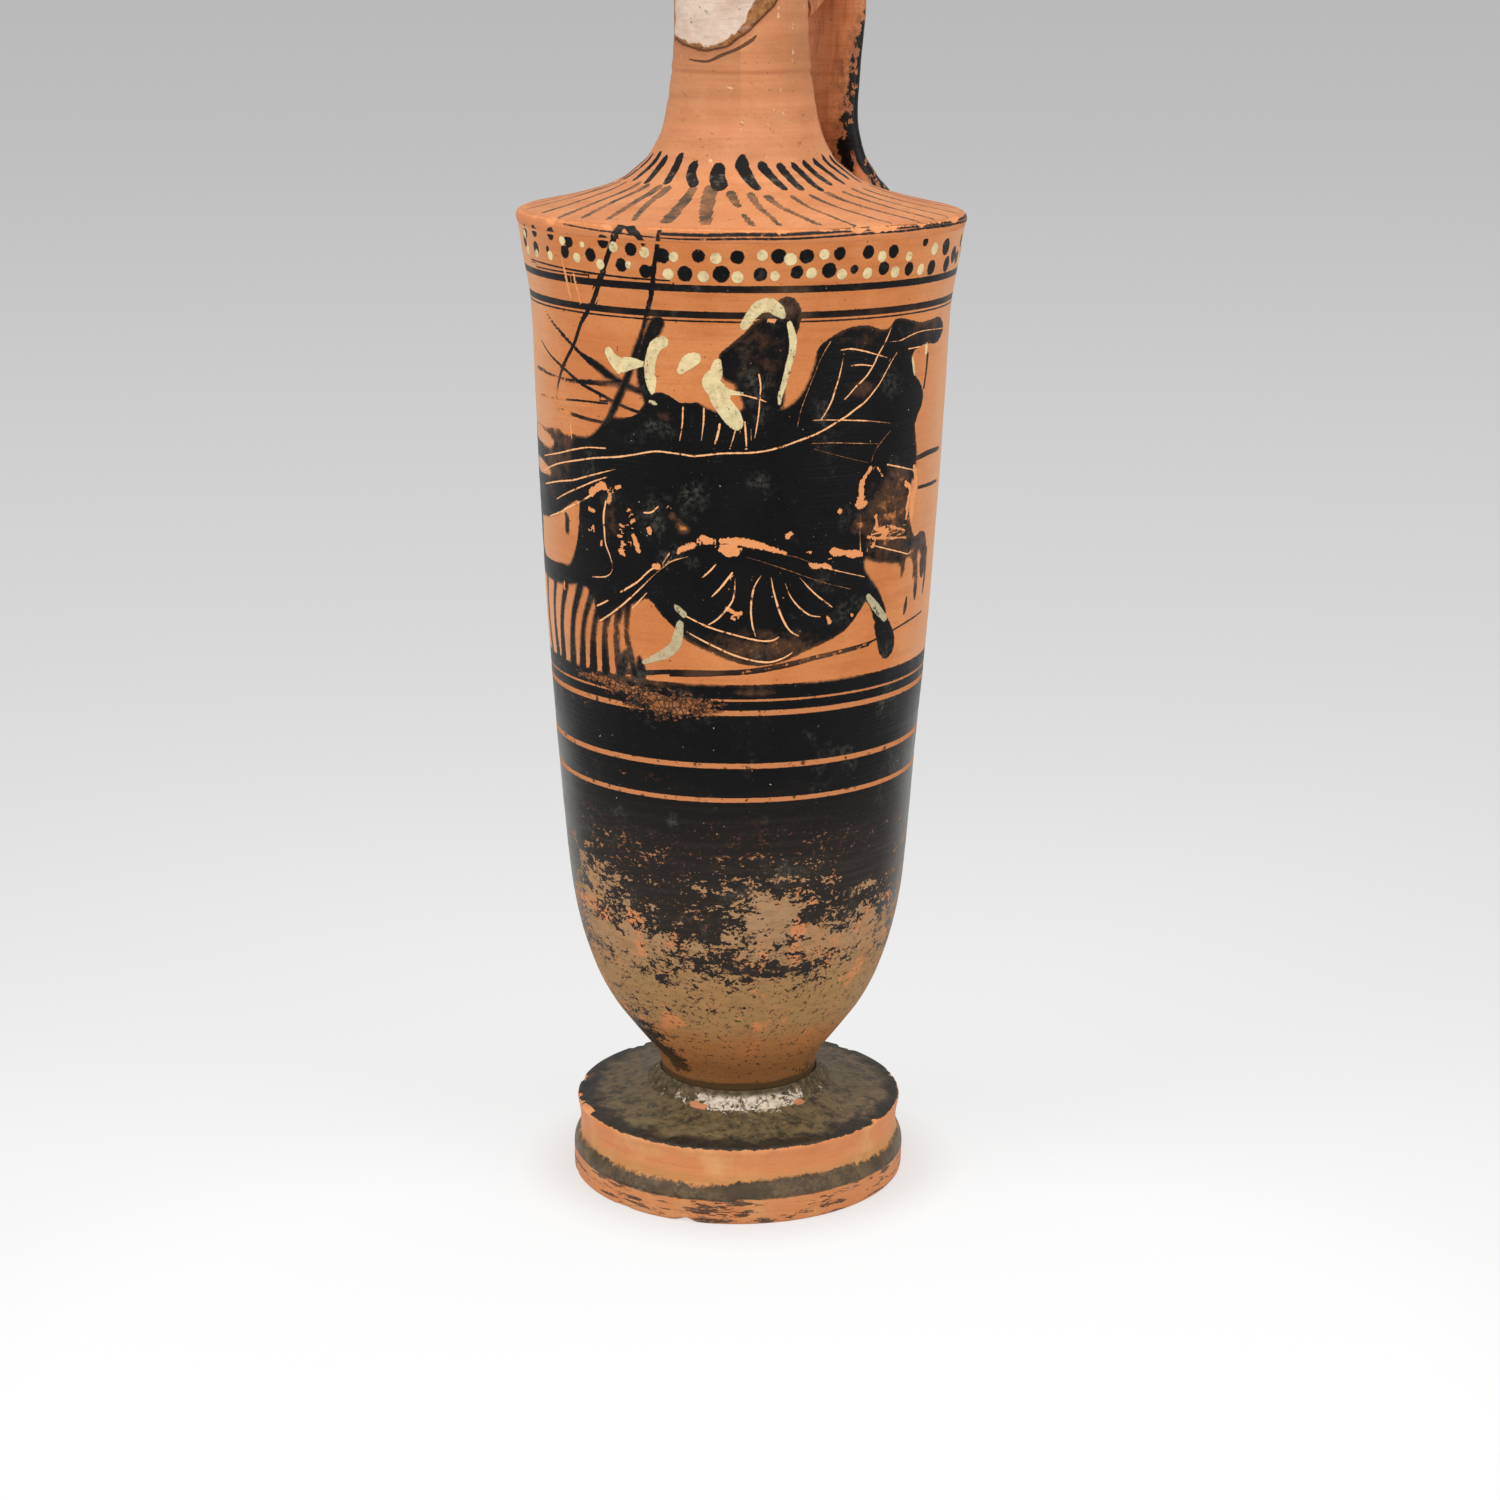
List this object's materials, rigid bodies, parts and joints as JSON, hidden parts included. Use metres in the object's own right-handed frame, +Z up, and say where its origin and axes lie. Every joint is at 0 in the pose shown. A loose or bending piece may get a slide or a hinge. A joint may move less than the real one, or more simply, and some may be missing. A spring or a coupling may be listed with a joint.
{
  "type": "lekythos",
  "caption": "Tall cylinder lekythos, an oil flask of fired clay: disc foot, near-cylindrical body, sloping shoulder, slim neck, cup mouth and one strap handle.",
  "frame": {"origin": "centre of the foot's resting ring, on the surface that the vase stands on", "axes": "+Z up along the vase's axis, +Y towards the handle, so -Y is the side away from the handle"},
  "size_m": [0.0812, 0.0812, 0.256],
  "materials": {
    "reserved_clay": "burnished orange clay, satin",
    "painted_body": "orange clay under black gloss slip, worn",
    "black_gloss": "black gloss slip, semi-gloss",
    "handle_clay": "orange clay with black gloss on its outer face",
    "plaster": "matt repair plaster, pinkish white"
  },
  "bodies": {
    "root": {"foot": "reserved_clay", "foot_join_fill": "plaster", "body": "painted_body", "shoulder": "reserved_clay", "neck": "reserved_clay", "neck_fill": "plaster", "mouth": "black_gloss", "handle": "handle_clay"}
  },
  "joints": []
}
